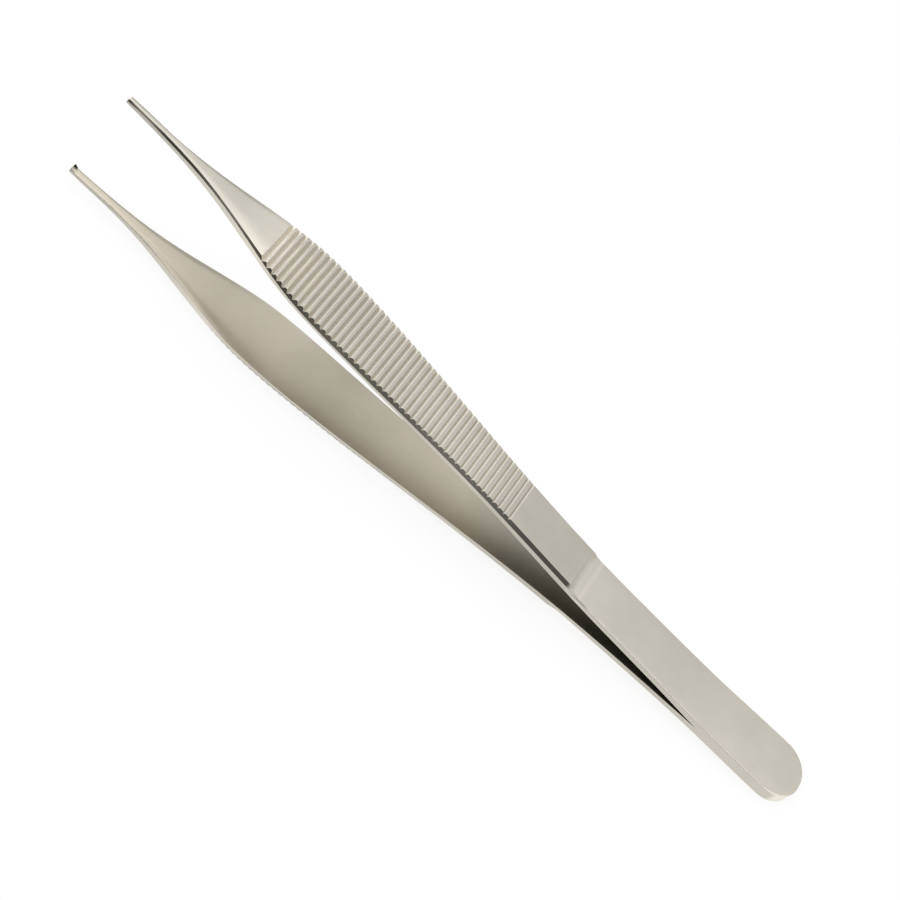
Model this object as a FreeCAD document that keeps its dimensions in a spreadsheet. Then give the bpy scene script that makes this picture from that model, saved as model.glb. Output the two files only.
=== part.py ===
import FreeCAD, Part
import math
import os
import Sketcher

# Thumb forceps with one by two teeth: two spring arms, each milled from one bar of
# stainless steel, lie face to face and are welded into one rounded butt. Ahead of the weld
# a thin leaf springs them apart, then a cove steps each arm up to its bevelled shank, the
# broad grip is cut across with ridges, and the arm flares down to a narrow toothed nose.
#
# An arm is drawn with x running from the butt to the tip, y across and z outwards from the
# plane where the two arms meet. The pair is then laid down on the back of the lower arm.

Vector = FreeCAD.Vector

SIZES = {
    "butt_thickness": 1.02,
    "butt_flat": 0.54,
    "rim_radius": 0.3,
    "leaf_slope": 0.064,
    "leaf_thickness": 0.68,
    "leaf_bend_radius": 150.0,
    "cove_radius": 4.0,
    "bow_radius": 638.0,
    "bow_crest_ahead": 47.0,
    "bow_crest_height": 8.79,
    "ridged_length": 44.0,
    "ridge_pitch": 0.977,
    "ridge_depth": 0.36,
    "ridge_set_back": 2.4,
    "ridge_crest_radius": 0.25,
    "ridge_land": 0.14,
    "tip_radius": 0.25,
    "tip_end_radius": 0.75,
    "tooth_length": 1.1,
    "tooth_height": 0.45,
    "tooth_root": 0.15,
    "tooth_base": 0.62,
    "tooth_crest": 0.12,
    "tooth_inset": 0.05,
    "tooth_clearance": 0.05,
}

# The arm's section at each station: how far it lies ahead of the one before, its width, its
# thickness and the bevel along both outer edges. The leaf's own thickness is milled later,
# the grip's outer face follows the bow, and the nose is placed by the gap between the arms.
STATIONS = {
    "butt": {"width": 8.36},
    "heel": {"run": 8.0, "width": 8.58},
    "weld": {"run": 7.5, "width": 8.22},
    "leaf": {"run": 8.5, "width": 7.84},
    "step": {"run": 13.9, "width": 7.7, "bevel_width": 0.42, "bevel_height": 0.42},
    "shank": {"run": 13.4, "width": 7.8, "bevel_width": 0.42, "bevel_height": 0.44, "thickness": 1.06},
    "palm": {"run": 14.7, "width": 8.86, "bevel_width": 0.38, "bevel_height": 0.52, "thickness": 1.0},
    "grip": {"run": 16.0, "width": 10.14, "bevel_width": 0.33, "bevel_height": 0.62, "thickness": 0.95},
    "shoulder": {"run": 9.0, "width": 9.5, "bevel_width": 0.3, "bevel_height": 0.5, "thickness": 0.95},
    "flare": {"run": 8.0, "width": 6.0, "bevel_width": 0.22, "bevel_height": 0.22, "thickness": 0.95},
    "neck": {
        "run": 8.0, "width": 2.5, "bevel_width": 0.22, "bevel_height": 0.24, "thickness": 0.88, "gap": 14.86
    },
    "nose": {
        "run": 6.0, "width": 1.3, "bevel_width": 0.24, "bevel_height": 0.24, "thickness": 0.74, "gap": 15.24
    },
    "tip": {
        "run": 7.0, "width": 1.04, "bevel_width": 0.22, "bevel_height": 0.22, "thickness": 0.56, "gap": 15.76
    },
}
LEAF_STATIONS = ("butt", "heel", "weld", "leaf", "step")
BOW_STATIONS = ("shank", "palm", "grip", "shoulder", "flare")

# Stock that the leaf's cutter finds above the sides, how far a cutter runs clear of the
# metal, how far round their arcs the cutters of the cove and of the nose's end run, in how
# many places the side by the butt is measured, and how near two points are one.
STOCK = 0.1
CLEAR = 1.0
COVE_TURN = 65.0
END_TURN = 60.0
SIDE_PLACES = 8
NEAR = 1e-4

doc = FreeCAD.newDocument("thumb_forceps")
sheet = doc.addObject("Spreadsheet::Sheet", "sizes")


def fill_sheet():
    """Write every driving size into the sheet under its own name."""
    rows = dict(SIZES)
    for station, section in STATIONS.items():
        rows.update({"%s_%s" % (station, name): value for name, value in section.items()})
    for row, (name, value) in enumerate(rows.items(), start=1):
        sheet.set("A%d" % row, name)
        sheet.set("B%d" % row, str(value))
        sheet.setAlias("B%d" % row, name)
    doc.recompute()


def size(name):
    return float(sheet.get(name))


def runs_up_to(station):
    """The stretches that add up to a station's distance from the butt."""
    names = list(STATIONS)
    return [name + "_run" for name in names[1 : names.index(station) + 1]]


def station_at(station):
    return sum(size(run) for run in runs_up_to(station))


# The same distances, and the heights of the arm's faces, as expressions on the sheet.


def station_x(station):
    return "(%s)" % " + ".join(["0"] + ["sizes." + run for run in runs_up_to(station)])


WELD_X = station_x("weld")
STEP_X = station_x("step")
TIP_X = station_x("tip")
LEAF_TOP = "((%s - %s) * sizes.leaf_slope + sizes.leaf_thickness)" % (STEP_X, WELD_X)
BOW_X = "(%s + sizes.bow_crest_ahead)" % station_x("grip")
BOW_Z = "(sizes.bow_crest_height - sizes.bow_radius)"
RIDGE_START = station_x("shank")
RIDGE_END = "(%s + sizes.ridged_length)" % RIDGE_START


def leaf_inner(x):
    """The leaf's inner face leaves the weld as a straight slope."""
    return "(%s - %s) * sizes.leaf_slope" % (x, WELD_X)


def leaf_outer(x):
    """The leaf's outer face is level over the weld and then rises straight to the step."""
    slope = "(%s - sizes.butt_thickness) / (%s - %s)" % (LEAF_TOP, STEP_X, WELD_X)
    return "sizes.butt_thickness + max(0; %s - %s) * %s" % (x, WELD_X, slope)


def bow_outer(x):
    """The grip's outer face is one long arc."""
    return "%s + sqrt(sizes.bow_radius ^ 2 - (%s - %s) ^ 2)" % (BOW_Z, x, BOW_X)


def inner_face(station):
    if station in LEAF_STATIONS:
        return leaf_inner(station_x(station))
    if station in BOW_STATIONS:
        return "%s - sizes.%s_thickness" % (bow_outer(station_x(station)), station)
    return "sizes.%s_gap / 2" % station


def side_land(station):
    """Height of the upright side below the bevel."""
    if station in LEAF_STATIONS:
        x = station_x(station)
        return "%s - %s + %g" % (leaf_outer(x), leaf_inner(x), STOCK)
    return "sizes.{0}_thickness - sizes.{0}_bevel_height".format(station)


def origin_plane(body, role):
    return next(plane for plane in body.Origin.OriginFeatures if plane.Role == role)


def new_sketch(body, name, role):
    """A sketch on one of the body's own origin planes."""
    sketch = body.newObject("Sketcher::SketchObject", "%s_%s" % (body.Name, name))
    sketch.AttachmentSupport = [(origin_plane(body, role), "")]
    sketch.MapMode = "FlatFace"
    return sketch


def rule(sketch, kind, *where, bind=None):
    """Add a constraint and, where it carries a size, tie it to the sheet."""
    index = sketch.addConstraint(Sketcher.Constraint(kind, *where))
    if bind:
        sketch.setExpression("Constraints[%d]" % index, bind)


def draw_line(sketch, start, end):
    return sketch.addGeometry(Part.LineSegment(Vector(*start, 0), Vector(*end, 0)))


def draw_arc(sketch, centre, radius, start, end):
    """An arc drawn anticlockwise between two angles."""
    circle = Part.Circle(Vector(*centre, 0), Vector(0, 0, 1), radius)
    return sketch.addGeometry(Part.ArcOfCircle(circle, start, end))


def closed_outline(sketch, points):
    """Straight edges through the points, each joined to the next."""
    lines = [draw_line(sketch, a, b) for a, b in zip(points, points[1:] + points[:1])]
    for line, following in zip(lines, lines[1:] + lines[:1]):
        rule(sketch, "Coincident", line, 2, following, 1)
    return lines


def cut(body, name, sketch):
    """Cut the sketch's area out of the whole width of the arm."""
    pocket = body.newObject("PartDesign::Pocket", "%s_%s" % (body.Name, name))
    pocket.Profile = sketch
    pocket.Type = "ThroughAll"
    pocket.SideType = "Symmetric"
    return pocket


def fillet(body, name, feature, test, radius):
    """Round the edges whose two ends pass the test, and those that they run on into."""
    doc.recompute()
    edges = [
        "Edge%d" % index
        for index, edge in enumerate(feature.Shape.Edges, start=1)
        if test(edge.Vertexes[0].Point, edge.Vertexes[-1].Point)
    ]
    rounded = body.newObject("PartDesign::Fillet", "%s_%s" % (body.Name, name))
    rounded.Base = (feature, edges)
    rounded.setExpression("Radius", str(radius))
    return rounded


def section_sketch(body, station):
    """The arm's six-sided section: flat inner face, two side lands, two bevels, outer face."""
    sketch = new_sketch(body, station + "_section", "YZ_Plane")
    sketch.setExpression("AttachmentOffset.Base.z", station_x(station))
    sketch.setExpression("AttachmentOffset.Base.y", inner_face(station))
    bevel = "%s_bevel" % ("step" if station in LEAF_STATIONS else station)
    half = size(station + "_width") / 2
    edge = half - size(bevel + "_width")
    land = size("butt_thickness")
    top = land + size(bevel + "_height")
    corners = [(-half, 0), (half, 0), (half, land), (edge, top), (-edge, top), (-half, land)]
    inner, right, right_bevel, outer, _, left = closed_outline(sketch, corners)
    rule(sketch, "Horizontal", inner)
    rule(sketch, "Symmetric", inner, 1, inner, 2, -1, 1)
    rule(sketch, "Vertical", right)
    rule(sketch, "Symmetric", right, 2, left, 1, -2)
    rule(sketch, "Symmetric", outer, 1, outer, 2, -2)
    rule(sketch, "DistanceX", inner, 1, inner, 2, 2 * half, bind="sizes.%s_width" % station)
    rule(sketch, "DistanceY", right, 1, right, 2, land, bind=side_land(station))
    rule(sketch, "DistanceX", right_bevel, 2, right_bevel, 1, half - edge, bind="sizes.%s_width" % bevel)
    rule(sketch, "DistanceY", right_bevel, 1, right_bevel, 2, top - land, bind="sizes.%s_height" % bevel)
    return sketch


def blank(body):
    """The arm's whole outline, carried through its sections from butt to tip."""
    sections = [section_sketch(body, station) for station in STATIONS]
    loft = body.newObject("PartDesign::AdditiveLoft", body.Name + "_blank")
    loft.Profile = sections[0]
    loft.Sections = sections[1:]


def face_butt(body):
    """Face the butt flat where it meets the other arm."""
    sketch = new_sketch(body, "weld_face", "XZ_Plane")
    front, depth = station_at("leaf"), station_at("weld")
    corners = [(-CLEAR, 0), (front, 0), (front, -depth), (-CLEAR, -depth)]
    top, ahead, floor, _ = closed_outline(sketch, corners)
    rule(sketch, "PointOnObject", top, 1, -1)
    rule(sketch, "PointOnObject", top, 2, -1)
    rule(sketch, "Vertical", ahead)
    rule(sketch, "Horizontal", floor)
    rule(sketch, "DistanceX", top, 1, -1, 1, CLEAR)
    rule(sketch, "DistanceX", floor, 2, -1, 1, CLEAR)
    rule(sketch, "DistanceX", -1, 1, top, 2, front, bind=station_x("leaf"))
    rule(sketch, "DistanceY", ahead, 2, ahead, 1, depth, bind=WELD_X)
    cut(body, "faced_butt", sketch)


def thin_leaf(body):
    """Mill the leaf down from outside and run out up a cove at the step."""
    weld, step, level = station_at("weld"), station_at("step"), size("butt_thickness")
    top = (step - weld) * size("leaf_slope") + size("leaf_thickness")
    bend, cove = size("leaf_bend_radius"), size("cove_radius")
    rise, turn = math.atan2(top - level, step - weld), math.radians(COVE_TURN)
    reach = bend * math.tan(rise / 2)
    bend_start = (weld - reach, level)
    bend_end = (weld + reach * math.cos(rise), level + reach * math.sin(rise))
    cove_centre = (step - cove * math.sin(rise), top + cove * math.cos(rise))
    cove_end = (cove_centre[0] + cove * math.sin(turn), cove_centre[1] - cove * math.cos(turn))
    lid_height = cove_end[1] + CLEAR
    down = -math.pi / 2

    sketch = new_sketch(body, "leaf_profile", "XZ_Plane")
    butt_face = draw_line(sketch, (-CLEAR, level), bend_start)
    bend_arc = draw_arc(sketch, (bend_start[0], level + bend), bend, down, down + rise)
    leaf_face = draw_line(sketch, bend_end, (step, top))
    cove_arc = draw_arc(sketch, cove_centre, cove, down + rise, down + turn)
    run_out = draw_line(sketch, cove_end, (cove_end[0], lid_height))
    lid = draw_line(sketch, (cove_end[0], lid_height), (-CLEAR, lid_height))
    back = draw_line(sketch, (-CLEAR, lid_height), (-CLEAR, level))
    corner = sketch.addGeometry(Part.Point(Vector(weld, level, 0)), True)
    rule(sketch, "Tangent", butt_face, 2, bend_arc, 1)
    rule(sketch, "Tangent", bend_arc, 2, leaf_face, 1)
    rule(sketch, "Tangent", leaf_face, 2, cove_arc, 1)
    rule(sketch, "Coincident", cove_arc, 2, run_out, 1)
    rule(sketch, "Coincident", run_out, 2, lid, 1)
    rule(sketch, "Coincident", lid, 2, back, 1)
    rule(sketch, "Coincident", back, 2, butt_face, 1)
    rule(sketch, "Horizontal", butt_face)
    rule(sketch, "Vertical", run_out)
    rule(sketch, "Horizontal", lid)
    rule(sketch, "Vertical", back)
    rule(sketch, "PointOnObject", corner, 1, butt_face)
    rule(sketch, "PointOnObject", corner, 1, leaf_face)
    rule(sketch, "DistanceX", -1, 1, corner, 1, weld, bind=WELD_X)
    rule(sketch, "Radius", bend_arc, bend, bind="sizes.leaf_bend_radius")
    rule(sketch, "Radius", cove_arc, cove, bind="sizes.cove_radius")
    rule(sketch, "DistanceX", butt_face, 1, -1, 1, CLEAR)
    rule(sketch, "DistanceY", -1, 1, butt_face, 1, level, bind="sizes.butt_thickness")
    rule(sketch, "DistanceX", -1, 1, leaf_face, 2, step, bind=STEP_X)
    rule(sketch, "DistanceY", -1, 1, leaf_face, 2, top, bind=LEAF_TOP)
    # The cove's centre stands one radius off the leaf face, so its climb has a sloping start.
    slope = "atan((%s - sizes.butt_thickness) / (%s - %s))" % (LEAF_TOP, STEP_X, WELD_X)
    climb = "sizes.cove_radius * (cos(%s) - cos(%g deg))" % (slope, COVE_TURN)
    rule(sketch, "DistanceY", cove_arc, 1, cove_arc, 2, cove_end[1] - top, bind=climb)
    rule(sketch, "DistanceY", run_out, 1, run_out, 2, CLEAR)
    return cut(body, "leaf", sketch)


def corner_radius(shape):
    """Radius of the largest arc that runs from the flat on the butt's end into its side."""
    flat = size("butt_flat") / 2
    radii = []
    for place in range(1, SIDE_PLACES + 1):
        x = size("butt_width") / 2 * place / SIDE_PLACES
        outline = shape.slice(Vector(1, 0, 0), x)
        side = max(vertex.Y for wire in outline for vertex in wire.Vertexes) - flat
        radii.append((side**2 + x**2) / (2 * x))
    return min(radii)


def round_butt(body, leaf):
    """Round the butt's two corners, then ease the rim all round the milled face."""

    def upright_corner(a, b):
        return max(abs(a.x), abs(b.x), abs(a.y - b.y)) < NEAR < abs(a.z - b.z)

    def end_of_rim(a, b):
        top = size("butt_thickness")
        return max(abs(a.x), abs(b.x), abs(a.z - top), abs(b.z - top)) < NEAR

    doc.recompute()
    corners = fillet(body, "butt_corners", leaf, upright_corner, corner_radius(leaf.Shape))
    fillet(body, "rim", corners, end_of_rim, "sizes.rim_radius")


def cut_ridges(body):
    """Cut the grip across with even valleys whose rounded crests keep a narrow land.

    One cutter is drawn at the first valley and is stepped round an arc of the grip's radius.
    Its centre is set back, so that the valleys start shallow and are deepest at the front.
    """
    bow, half = size("bow_radius"), size("ridge_pitch") / 2
    crest, land = size("ridge_crest_radius"), size("ridge_land")
    valley = bow - size("ridge_depth")
    centre = bow - math.sqrt(crest**2 - land**2 / 4)
    to_centre = math.hypot(half, centre - valley)
    flank = math.asin(crest / to_centre) + math.atan2(centre - valley, half)
    touch = (half - crest * math.sin(flank), centre + crest * math.cos(flank))
    brim = math.asin(land / 4 / crest)
    brink = (half - land / 4, centre + crest * math.cos(brim))
    lid = bow + size("ridge_depth")
    up = math.pi / 2

    centre_x = "(%s - sizes.ridge_set_back)" % BOW_X
    reach = "sqrt(sizes.bow_radius ^ 2 - (%s - %s) ^ 2)"
    centre_z = "%s - %s" % (bow_outer(RIDGE_END), reach % (RIDGE_END, centre_x))
    sketch = new_sketch(body, "ridge_cutter", "XZ_Plane")
    sketch.setExpression("AttachmentOffset.Base.x", centre_x)
    sketch.setExpression("AttachmentOffset.Base.y", centre_z)
    turn = "asin((%s - %s) / sizes.bow_radius)" % (centre_x, RIDGE_START)
    sketch.setExpression("AttachmentOffset.Rotation.Angle", turn)
    left_flank = draw_line(sketch, (-touch[0], touch[1]), (0, valley))
    right_flank = draw_line(sketch, (0, valley), touch)
    right_crest = draw_arc(sketch, (half, centre), crest, up + brim, up + flank)
    left_crest = draw_arc(sketch, (-half, centre), crest, up - flank, up - brim)
    right_wall = draw_line(sketch, brink, (brink[0], lid))
    top = draw_line(sketch, (brink[0], lid), (-brink[0], lid))
    left_wall = draw_line(sketch, (-brink[0], lid), (-brink[0], brink[1]))
    rule(sketch, "Coincident", left_flank, 2, right_flank, 1)
    rule(sketch, "Tangent", right_flank, 2, right_crest, 2)
    rule(sketch, "Tangent", left_flank, 1, left_crest, 1)
    rule(sketch, "Coincident", right_crest, 1, right_wall, 1)
    rule(sketch, "Coincident", right_wall, 2, top, 1)
    rule(sketch, "Coincident", top, 2, left_wall, 1)
    rule(sketch, "Coincident", left_wall, 2, left_crest, 2)
    rule(sketch, "Vertical", right_wall)
    rule(sketch, "Vertical", left_wall)
    rule(sketch, "Symmetric", top, 1, top, 2, -2)
    rule(sketch, "PointOnObject", right_flank, 1, -2)
    rule(sketch, "Symmetric", right_crest, 3, left_crest, 3, -2)
    rule(sketch, "Equal", right_crest, left_crest)
    rule(sketch, "Radius", right_crest, crest, bind="sizes.ridge_crest_radius")
    rule(sketch, "DistanceX", -1, 1, right_crest, 3, half, bind="sizes.ridge_pitch / 2")
    sunk = "sizes.bow_radius - sqrt(sizes.ridge_crest_radius ^ 2 - sizes.ridge_land ^ 2 / 4)"
    rule(sketch, "DistanceY", -1, 1, right_crest, 3, centre, bind=sunk)
    rule(sketch, "DistanceY", -1, 1, right_flank, 1, valley, bind="sizes.bow_radius - sizes.ridge_depth")
    rule(sketch, "DistanceX", right_crest, 1, right_crest, 3, land / 4, bind="sizes.ridge_land / 4")
    rule(sketch, "DistanceY", -1, 1, top, 1, lid, bind="sizes.bow_radius + sizes.ridge_depth")

    groove = cut(body, "groove", sketch)
    ridges = body.newObject("PartDesign::PolarPattern", body.Name + "_ridges")
    ridges.Originals = [groove]
    ridges.Axis = (sketch, ["N_Axis"])
    ridges.Reversed = True
    ridges.Mode = "Spacing"
    ridges.setExpression("Offset", "sizes.ridge_pitch / sizes.bow_radius * 180 / pi")
    ridges.setExpression("Occurrences", "round(sizes.ridged_length / sizes.ridge_pitch) + 1")
    body.Tip = ridges
    return ridges


def round_tip(body, ridges):
    """Round the outer edge of the nose's end."""

    def outer_edge(a, b):
        end, top = station_at("tip"), size("tip_gap") / 2 + size("tip_thickness")
        return max(abs(a.x - end), abs(b.x - end), abs(a.z - top), abs(b.z - top)) < NEAR

    fillet(body, "rounded_tip", ridges, outer_edge, "sizes.tip_radius")


def tooth_section(body, name, height, length, outer, inner=None):
    """A rectangle that ends at the tip, astride the middle or beside it from an inner side."""
    sketch = new_sketch(body, name, "XY_Plane")
    sketch.setExpression("AttachmentOffset.Base.x", TIP_X)
    sketch.setExpression("AttachmentOffset.Base.z", height)
    back, far = size("tooth_length"), size("tip_width") / 2
    near = far / 2 if inner else -far
    side, end, other_side, _ = closed_outline(sketch, [(-back, near), (0, near), (0, far), (-back, far)])
    rule(sketch, "Horizontal", side)
    rule(sketch, "Horizontal", other_side)
    rule(sketch, "Vertical", end)
    rule(sketch, "PointOnObject", end, 1, -2)
    rule(sketch, "DistanceX", side, 1, side, 2, back, bind=length)
    rule(sketch, "DistanceX", other_side, 2, other_side, 1, back, bind=length)
    rule(sketch, "DistanceY", -1, 1, end, 2, far, bind=outer)
    if inner:
        rule(sketch, "DistanceY", -1, 1, end, 1, near, bind=inner)
    else:
        rule(sketch, "DistanceY", end, 1, -1, 1, far, bind=outer)
    return sketch


def tooth(body, root_sides, crest_sides):
    """A tooth that leans back from a narrow crest at the tip to a root sunk in the nose."""
    sunk = "sizes.tip_gap / 2 + sizes.tooth_root"
    proud = "sizes.tip_gap / 2 - sizes.tooth_height"
    root = tooth_section(body, "tooth_root", sunk, "sizes.tooth_length", *root_sides)
    crest = tooth_section(body, "tooth_crest", proud, "sizes.tooth_crest", *crest_sides)
    loft = body.newObject("PartDesign::AdditiveLoft", body.Name + "_tooth")
    loft.Profile = root
    loft.Sections = [crest]
    loft.Ruled = True
    return loft


def single_tooth(body):
    """The middle tooth, narrowest at its crest."""
    tooth(body, ["sizes.tooth_base / 2"], ["sizes.tooth_crest / 2"])


def paired_teeth(body):
    """Two teeth by the nose's sides, with a notch between them that takes the single one."""
    side = "sizes.tip_width / 2 - sizes.tooth_inset"
    notch_root = "sizes.tooth_crest / 2 + sizes.tooth_clearance"
    notch_mouth = "sizes.tooth_base / 2 + sizes.tooth_clearance"
    first = tooth(body, [side, notch_root], [side, notch_mouth])
    pair = body.newObject("PartDesign::Mirrored", body.Name + "_pair")
    pair.Originals = [first]
    pair.MirrorPlane = (origin_plane(body, "XZ_Plane"), [""])
    body.Tip = pair


def round_end(body):
    """Round the end of the nose and its teeth, seen from outside."""
    radius, turn = size("tip_end_radius"), math.radians(END_TURN)
    back, side = radius * math.cos(turn) - radius, radius * math.sin(turn)
    sketch = new_sketch(body, "end_cutter", "XY_Plane")
    sketch.setExpression("AttachmentOffset.Base.x", TIP_X)
    nose = draw_arc(sketch, (-radius, 0), radius, -turn, turn)
    left = draw_line(sketch, (back, side), (CLEAR, side))
    ahead = draw_line(sketch, (CLEAR, side), (CLEAR, -side))
    right = draw_line(sketch, (CLEAR, -side), (back, -side))
    rule(sketch, "Coincident", nose, 2, left, 1)
    rule(sketch, "Coincident", left, 2, ahead, 1)
    rule(sketch, "Coincident", ahead, 2, right, 1)
    rule(sketch, "Coincident", right, 2, nose, 1)
    rule(sketch, "Horizontal", left)
    rule(sketch, "Horizontal", right)
    rule(sketch, "PointOnObject", nose, 3, -1)
    rule(sketch, "Radius", nose, radius, bind="sizes.tip_end_radius")
    rule(sketch, "DistanceX", nose, 3, -1, 1, radius, bind="sizes.tip_end_radius")
    rule(sketch, "DistanceX", -1, 1, ahead, 1, CLEAR)
    rule(sketch, "Symmetric", ahead, 1, ahead, 2, -1)
    span = "2 * sizes.tip_end_radius * sin(%g deg)" % END_TURN
    rule(sketch, "DistanceY", ahead, 2, ahead, 1, 2 * side, bind=span)
    cut(body, "rounded_end", sketch)


def arm(name, cut_teeth):
    body = doc.addObject("PartDesign::Body", name)
    body.Label = name
    blank(body)
    face_butt(body)
    leaf = thin_leaf(body)
    round_butt(body, leaf)
    ridges = cut_ridges(body)
    round_tip(body, ridges)
    cut_teeth(body)
    round_end(body)
    return body


def rest_angle():
    """Slope of the line that touches both the rim round the butt and the arc of the grip."""
    rim, bow = size("rim_radius"), size("bow_radius")
    run = station_at("grip") + size("bow_crest_ahead") - rim
    drop = size("butt_thickness") - rim - (size("bow_crest_height") - bow)
    return math.degrees(math.atan2(run, drop) - math.acos((bow - rim) / math.hypot(run, drop)))


def lay_down(upper, lower):
    """Turn the second arm to face the first and lay the pair on its back, over the origin."""
    facing = FreeCAD.Placement(Vector(), FreeCAD.Rotation(Vector(1, 0, 0), 180))
    rest = FreeCAD.Placement(Vector(), FreeCAD.Rotation(Vector(0, 1, 0), -rest_angle()))
    upper.Placement = rest
    lower.Placement = rest * facing
    box = Part.makeCompound([upper.Shape, lower.Shape]).optimalBoundingBox(False, False)
    shift = FreeCAD.Placement(Vector(-box.Center.x, -box.Center.y, -box.ZMin), FreeCAD.Rotation())
    upper.Placement = shift * rest
    lower.Placement = shift * rest * facing


def check(arms):
    """Stop where a feature failed or an arm isn't one sound solid."""
    failed = [item.Name for item in doc.Objects if {"Invalid", "Error"} & set(item.State)]
    unsound = [
        body.Name
        for body in arms
        if body.Shape.isNull() or not body.Shape.isValid() or len(body.Shape.Solids) != 1
    ]
    if failed or unsound:
        raise RuntimeError("failed: %s, unsound: %s" % (failed, unsound))


fill_sheet()
arms = [arm("upper_arm", single_tooth), arm("lower_arm", paired_teeth)]
doc.recompute()
check(arms)
lay_down(*arms)
check(arms)

os.makedirs("parts", exist_ok=True)
for body in arms:
    body.Shape.exportStep("parts/%s.step" % body.Label)
    print(body.Label, "%.1f mm3" % body.Shape.Volume, body.Placement)
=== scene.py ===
import bpy
from mathutils import Matrix, Vector

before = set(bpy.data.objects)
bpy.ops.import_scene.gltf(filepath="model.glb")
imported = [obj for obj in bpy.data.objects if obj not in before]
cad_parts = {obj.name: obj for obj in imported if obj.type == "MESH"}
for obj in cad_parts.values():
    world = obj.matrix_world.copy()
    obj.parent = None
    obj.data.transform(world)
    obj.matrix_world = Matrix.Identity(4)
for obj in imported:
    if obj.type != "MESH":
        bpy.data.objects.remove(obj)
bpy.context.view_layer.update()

# Thumb forceps of satin stainless steel, lying on a white studio floor. Sizes are in metres,
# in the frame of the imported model: x from the butt to the tips, z up.

# The camera, placed and turned as the photo's was.
CAMERA_PLACE = Vector((0.02136, 0.23200, 0.25835))
CAMERA_LOOK = Vector((-0.05767, -0.67778, -0.73301))
CAMERA_UP = Vector((0.64749, -0.58426, 0.48929))
SENSOR = 36.0
LENS = 110.23
CLIP = (0.01, 20.0)

# The floor, and the share of plain white that it shows to the eye and to the steel.
FLOOR_HALF = 1.5
FLOOR_GREY = 0.92
FLOOR_GLOW = 0.86

# The dark flag that the bevels mirror: its y, its stretch along x, its top and its colour.
FLAG_AWAY = 0.3
FLAG_REACH = (-0.1, 0.6)
FLAG_TOP = 0.52
FLAG_COLOUR = (0.05, 0.048, 0.04, 1)

# The studio's light: more from ahead of the tips, less from low behind the butt, and more from
# overhead. Each first pair is a stretch of the direction's x or z, and each second pair is what
# the light, or its loss or gain, goes between there.
AHEAD, AHEAD_LIGHT = (-0.15, 0.6), (0.78, 1.45)
BEHIND = (-0.3, -0.65)
LOW, LOW_LOSS = (0.1, 0.35), (0.45, -0.4)
OVERHEAD, OVERHEAD_GAIN = (0.72, 0.98), (1.0, 1.35)

# Each arm with the way that its outer face looks, up or down, and the height at which the
# painted shade on its teeth starts.
ARMS = {"upper_arm": (1.0, 0.01764), "lower_arm": (-1.0, 0.00203)}

# Places in the ramps below are shares of this stretch, from the butt to the tips.
LENGTH = (-0.0602, 0.0602)

# How light the steel is on the outer face, on the inner face and on the bevels. The outer ramp
# is partly the steel's own tone and partly painted light: the light line at the heel side of the
# step's cove and the light band on the flare toward the tips are painted highlights.
OUTER_TONE_AND_PAINTED_LIGHT = (
    (0.0, 0.61), (0.1, 0.63), (0.2, 0.58), (0.3, 0.61), (0.311, 0.62), (0.3135, 0.72),
    (0.316, 0.60), (0.3245, 0.56), (0.3298, 0.62), (0.3306, 0.53), (0.42, 0.565),
    (0.48, 0.615), (0.7, 0.62), (0.76, 0.63), (0.79, 0.76), (0.85, 0.64), (1.0, 0.74),
)
# The inner ramp is painted shade between the arms: the inner faces are darker than the outer,
# and darkest toward the butt where the arms meet.
INNER_TONE_AND_PAINTED_SHADE = (
    (0.0, 0.24), (0.333, 0.26), (0.4, 0.34), (0.47, 0.51), (0.55, 0.495), (0.63, 0.435),
    (0.72, 0.525), (0.8, 0.505), (0.9, 0.62), (1.0, 0.70),
)
# The bevel ramp is a painted reflection: dark from the step to the tips, on top of the dark
# flag's own reflection, and light on the heel as a painted highlight along its edge.
BEVEL_PAINTED_REFLECTION = (
    (0.0, 0.92), (0.2965, 0.92), (0.3048, 0.58), (0.3281, 0.55), (0.3314, 0.10), (0.4, 0.10),
    (0.47, 0.19), (0.56, 0.32), (0.74, 0.34), (0.79, 0.56), (0.865, 0.5), (0.94, 0.17),
    (1.0, 0.17),
)

# The red, green and blue of a tone.
OUTER_WARMTH = (1.0, 0.945, 0.83)
INNER_WARMTH = (1.0, 0.925, 0.76)

# The sides of the nose are darkened by painted shade to their own tone over this stretch of x.
NOSE = (0.044, 0.054)
NOSE_SIDE_PAINTED_SHADE = 0.5

# The painted shade on one side of the teeth: where it starts along x and y, how soon it is full
# in height, and its tone.
TEETH_ALONG = (0.0572, 0.0574)
TEETH_ACROSS = (0.00008, 0.0)
TEETH_FADE = 0.00005
TEETH_PAINTED_SHADE = 0.07

# A face is of a kind by the size of its normal's z or y, from not at all to fully.
INNER_FACE = (0.3, 0.8)
LEVEL_FACE = (0.85, 0.95)
SIDE_FACE = (0.85, 0.95)
BEVEL_FACE = (0.3, 0.42)

# The outer face is rougher on the heel than ahead of the step, over this stretch of x.
STEP = (-0.026, -0.018)
OUTER_ROUGHNESS = (0.42, 0.325)
INNER_ROUGHNESS = 0.39

# Patterns in the steel: scale, detail, roughness and stretch.
BLOTCH = (110.0, 4.0, 0.6, (1.0, 1.0, 1.0))
STREAKS = (4200.0, 3.0, 0.65, (0.04, 1.0, 1.0))
CROSSING = (2600.0, 2.0, 0.6, (1.0, 0.06, 1.0))
GRAIN = (9000.0, 2.0, 0.6, (1.0, 1.0, 1.0))

# The values that coarse and fine patterns keep to.
COARSE = (0.3, 0.7)
FINE = (0.25, 0.75)

# How far the patterns swing the tone and the roughness.
BLOTCH_TONE, STREAK_TONE, GRAIN_TONE = 0.03, 0.014, 0.008
BLOTCH_ROUGHNESS, GRAIN_ROUGHNESS = 0.012, 0.01

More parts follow.
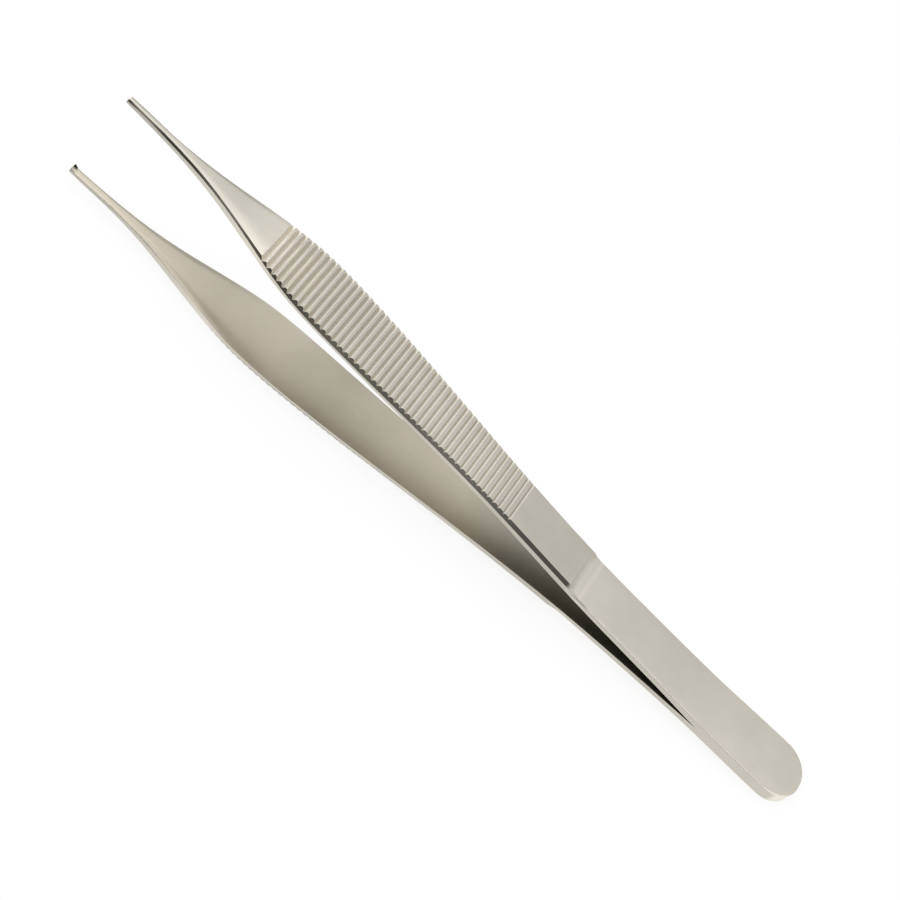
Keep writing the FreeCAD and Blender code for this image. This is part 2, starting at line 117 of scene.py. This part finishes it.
# The faces' crown: half their width in centimetres, the inner face's added edge, how far they
# lean over by their edges, and the power that holds the lean to the edges.
HALF_WIDTH = (
    (0.0, 0.39), (0.32, 0.36), (0.42, 0.348), (0.55, 0.405), (0.68, 0.474), (0.755, 0.445),
    (0.822, 0.278), (0.89, 0.103), (0.94, 0.041), (1.0, 0.03),
)
INNER_EDGE = 0.035
CENTIMETRE = 0.01
EDGE_LEAN = ((0.0, 0.08), (0.7, 0.08), (0.8, 0.45), (0.88, 1.0), (0.93, 1.3), (1.0, 1.3))
CROWN_POWER = 3.0

# Fine scratches: how much of each pattern is in them, outside and inside, and their depth.
STREAK_SHARE = 0.5
CROSSING_SHARE = (0.15, 0.4)
GRAIN_SHARE = 0.35
SCRATCH_STRENGTH = 0.05
SCRATCH_DEPTH = 0.00002


class Wires:
    """A short way to add nodes and join them in one material or world."""

    def __init__(self, owner):
        owner.use_nodes = True
        self.tree = owner.node_tree
        self.tree.nodes.clear()

    def add(self, kind, values=None, **options):
        node = self.tree.nodes.new(kind)
        for name, value in options.items():
            setattr(node, name, value)
        for name, value in (values or {}).items():
            if isinstance(value, bpy.types.NodeSocket):
                self.tree.links.new(value, node.inputs[name])
            else:
                node.inputs[name].default_value = value
        return node

    def math(self, operation, a, b=0.5):
        return self.add("ShaderNodeMath", {0: a, 1: b}, operation=operation).outputs[0]

    def remap(self, value, reach, result=(0.0, 1.0), ease="LINEAR"):
        """Turn one stretch of values into another, and hold its ends beyond it."""
        values = {
            "Value": value,
            "From Min": reach[0], "From Max": reach[1],
            "To Min": result[0], "To Max": result[1],
        }
        return self.add("ShaderNodeMapRange", values, interpolation_type=ease).outputs["Result"]

    def swing(self, pattern, reach, amount):
        """Turn a pattern into a small value to either side of zero."""
        return self.remap(pattern, reach, (-amount, amount))

    def blend(self, share, first, second):
        return self.add("ShaderNodeMix", {0: share, 2: first, 3: second}).outputs[0]

    def noise(self, where, scale, detail, rough, stretch):
        spread = self.add("ShaderNodeMapping", {"Vector": where, "Scale": stretch}).outputs[0]
        values = {"Vector": spread, "Scale": scale, "Detail": detail, "Roughness": rough}
        return self.add("ShaderNodeTexNoise", values).outputs["Fac"]

    def steps(self, value, stops):
        """A ramp of grey levels, read as a number."""
        ramp = self.add("ShaderNodeValToRGB", {"Fac": value})
        elements = ramp.color_ramp.elements
        while len(elements) < len(stops):
            elements.new(0.5)
        for element, (place, level) in zip(elements, stops):
            element.position = place
            element.color = (level, level, level, 1)
        return self.add("ShaderNodeRGBToBW", {"Color": ramp.outputs["Color"]}).outputs[0]


class SatinSteel(Wires):
    """Brushed outside and blasted to a matt inside, with softly crowned faces; the inner faces
    are darkened by painted shade between the arms.
    """

    def __init__(self, name, outward, teeth_shade_from):
        self.material = bpy.data.materials.new(name)
        super().__init__(self.material)
        places = self.add("ShaderNodeTexCoord").outputs
        self.x, self.y, self.z = self.add("ShaderNodeSeparateXYZ", {0: places["Object"]}).outputs
        normal = self.add("ShaderNodeSeparateXYZ", {0: places["Normal"]}).outputs
        self.along = self.remap(self.x, LENGTH)
        self.aside = self.math("ABSOLUTE", normal[1])
        self.level = self.math("ABSOLUTE", normal[2])
        inward = self.math("MULTIPLY", normal[2], -outward)
        self.inside = self.remap(inward, INNER_FACE, ease="SMOOTHSTEP")

        self.blotch = self.noise(places["Object"], *BLOTCH)
        self.streaks = self.noise(places["Object"], *STREAKS)
        self.crossing = self.noise(places["Object"], *CROSSING)
        self.grain = self.noise(places["Object"], *GRAIN)

        values = {
            "Base Color": self.colour(outward, teeth_shade_from),
            "Metallic": 1.0,
            "Roughness": self.roughness(),
            "Normal": self.scratches(self.crown()),
        }
        shader = self.add("ShaderNodeBsdfPrincipled", values)
        self.add("ShaderNodeOutputMaterial", {"Surface": shader.outputs[0]})

    def colour(self, outward, teeth_shade_from):
        outer, inner = self.steps(self.along, OUTER_TONE_AND_PAINTED_LIGHT), self.steps(self.along, INNER_TONE_AND_PAINTED_SHADE)
        # The inner faces take the inner ramp, which is painted shade between the arms.
        shade = self.blend(self.inside, outer, inner)
        shade = self.math("ADD", shade, self.mottle())
        shade = self.paint_edge_light_and_shade(shade)
        # Painted shade on one side of the teeth.
        shade = self.blend(self.painted_teeth_shade(outward, teeth_shade_from), shade, TEETH_PAINTED_SHADE)
        warmth = [self.blend(self.inside, *pair) for pair in zip(OUTER_WARMTH, INNER_WARMTH)]
        parts = {i: self.math("MULTIPLY", shade, share) for i, share in enumerate(warmth)}
        return self.add("ShaderNodeCombineColor", parts).outputs[0]

    def mottle(self):
        blotched = self.swing(self.blotch, COARSE, BLOTCH_TONE)
        streaked = self.math("ADD", blotched, self.swing(self.streaks, FINE, STREAK_TONE))
        return self.math("ADD", streaked, self.swing(self.grain, FINE, GRAIN_TONE))

    def paint_edge_light_and_shade(self, shade):
        """Give the bevels a painted reflection, dark ahead of the step and light on the heel,
        and paint shade on the sides of the nose.
        """
        side = self.remap(self.aside, SIDE_FACE)
        not_side = self.math("SUBTRACT", 1.0, side)
        bevel = self.math("MULTIPLY", self.remap(self.aside, BEVEL_FACE), not_side)
        # Painted reflection on the bevels.
        shade = self.blend(bevel, shade, self.steps(self.along, BEVEL_PAINTED_REFLECTION))
        # Painted shade on the sides of the nose.
        nose_side = self.math("MULTIPLY", side, self.remap(self.x, NOSE))
        return self.blend(nose_side, shade, NOSE_SIDE_PAINTED_SHADE)

    def painted_teeth_shade(self, outward, teeth_shade_from):
        """Where the teeth carry painted shade: inward of their start, on one side of the middle.
        """
        inward = self.remap(self.z, (teeth_shade_from, teeth_shade_from - TEETH_FADE * outward))
        tip = self.math("MULTIPLY", inward, self.remap(self.x, TEETH_ALONG))
        return self.math("MULTIPLY", tip, self.remap(self.y, TEETH_ACROSS))

    def roughness(self):
        outer = self.remap(self.x, STEP, OUTER_ROUGHNESS)
        plain = self.blend(self.inside, outer, INNER_ROUGHNESS)
        grained = self.math("ADD", plain, self.swing(self.grain, FINE, GRAIN_ROUGHNESS))
        return self.math("ADD", grained, self.swing(self.blotch, COARSE, BLOTCH_ROUGHNESS))

    def crown(self):
        """Lean the broad faces over toward their edges."""
        edge = self.math("MULTIPLY", self.inside, INNER_EDGE)
        half = self.math("ADD", self.steps(self.along, HALF_WIDTH), edge)
        half = self.math("MULTIPLY", half, CENTIMETRE)
        out = self.math("ABSOLUTE", self.math("DIVIDE", self.y, half))
        out = self.math("MINIMUM", out, 1.0)
        reach = self.math("MULTIPLY", half, self.remap(self.level, LEVEL_FACE))
        drop = self.math("MULTIPLY", reach, self.steps(self.along, EDGE_LEAN))
        drop = self.math("DIVIDE", drop, -CROWN_POWER)
        height = self.math("MULTIPLY", self.math("POWER", out, CROWN_POWER), drop)
        values = {"Strength": 1.0, "Distance": 1.0, "Height": height}
        return self.add("ShaderNodeBump", values).outputs[0]

    def scratches(self, normal):
        crossing = self.math("MULTIPLY", self.crossing, self.blend(self.inside, *CROSSING_SHARE))
        scored = self.math("ADD", self.math("MULTIPLY", self.streaks, STREAK_SHARE), crossing)
        scored = self.math("ADD", scored, self.math("MULTIPLY", self.grain, GRAIN_SHARE))
        values = {
            "Strength": SCRATCH_STRENGTH,
            "Distance": SCRATCH_DEPTH,
            "Height": scored,
            "Normal": normal,
        }
        return self.add("ShaderNodeBump", values).outputs[0]


def pale_floor():
    """A matt white sheet that stays white to the eye and in the steel, and keeps the shadow."""
    material = bpy.data.materials.new("pale_floor")
    w = Wires(material)
    grey = (FLOOR_GREY, FLOOR_GREY, FLOOR_GREY, 1)
    paper = w.add("ShaderNodeBsdfDiffuse", {"Color": grey}).outputs[0]
    glow = w.add("ShaderNodeEmission", {"Color": (1, 1, 1, 1), "Strength": 1.0}).outputs[0]
    rays = w.add("ShaderNodeLightPath").outputs
    mirrored = w.math("MAXIMUM", rays["Is Glossy Ray"], rays["Is Transmission Ray"])
    seen = w.math("MAXIMUM", rays["Is Camera Ray"], mirrored)
    share = w.math("MULTIPLY", seen, FLOOR_GLOW)
    both = w.add("ShaderNodeMixShader", {0: share, 1: paper, 2: glow}).outputs[0]
    w.add("ShaderNodeOutputMaterial", {"Surface": both})
    return material


def dark_cloth():
    material = bpy.data.materials.new("dark_cloth")
    w = Wires(material)
    cloth = w.add("ShaderNodeBsdfDiffuse", {"Color": FLAG_COLOUR}).outputs[0]
    w.add("ShaderNodeOutputMaterial", {"Surface": cloth})
    return material


def sheet(name, corners, material):
    """One flat rectangle that belongs to the studio."""
    mesh = bpy.data.meshes.new(name)
    mesh.from_pydata(corners, [], [(0, 1, 2, 3)])
    mesh.materials.append(material)
    panel = bpy.data.objects.new(name, mesh)
    bpy.context.scene.collection.objects.link(panel)
    return panel


def build_stage():
    """The floor, and a dark flag behind the camera that only the steel sees."""
    f = FLOOR_HALF
    sheet("floor", [(-f, -f, 0.0), (f, -f, 0.0), (f, f, 0.0), (-f, f, 0.0)], pale_floor())
    (left, right), y, top = FLAG_REACH, FLAG_AWAY, FLAG_TOP
    corners = [(left, y, 0.0), (right, y, 0.0), (right, y, top), (left, y, top)]
    flag = sheet("flag", corners, dark_cloth())
    flag.visible_camera = False
    flag.visible_diffuse = False
    flag.visible_shadow = False


def build_studio():
    """Soft white light all round, strongest from above and from ahead of the tips."""
    world = bpy.data.worlds.new("studio")
    bpy.context.scene.world = world
    w = Wires(world)
    toward = w.add("ShaderNodeTexCoord").outputs["Generated"]
    x, _, z = w.add("ShaderNodeSeparateXYZ", {0: toward}).outputs
    behind = w.remap(x, BEHIND, ease="SMOOTHSTEP")
    loss = w.math("MULTIPLY", behind, w.remap(z, LOW, LOW_LOSS, "SMOOTHSTEP"))
    side = w.math("SUBTRACT", w.remap(x, AHEAD, AHEAD_LIGHT), loss)
    light = w.math("MULTIPLY", side, w.remap(z, OVERHEAD, OVERHEAD_GAIN, "SMOOTHSTEP"))
    back = w.add("ShaderNodeBackground", {"Color": (1, 1, 1, 1), "Strength": light}).outputs[0]
    w.add("ShaderNodeOutputWorld", {"Surface": back})


def build_camera():
    data = bpy.data.cameras.new("camera")
    data.sensor_width = SENSOR
    data.lens = LENS
    data.clip_start, data.clip_end = CLIP
    camera = bpy.data.objects.new("camera", data)
    bpy.context.scene.collection.objects.link(camera)
    back = -CAMERA_LOOK.normalized()
    right = CAMERA_UP.cross(back).normalized()
    up = back.cross(right)
    turn = Matrix((right, up, back)).transposed().to_4x4()
    camera.matrix_world = Matrix.Translation(CAMERA_PLACE) @ turn
    bpy.context.scene.camera = camera


for name, (outward, teeth_shade_from) in ARMS.items():
    steel = SatinSteel(name + "_steel", outward, teeth_shade_from).material
    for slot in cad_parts[name].material_slots:
        slot.material = steel

build_stage()
build_studio()
build_camera()

bpy.context.scene.view_settings.view_transform = "Standard"
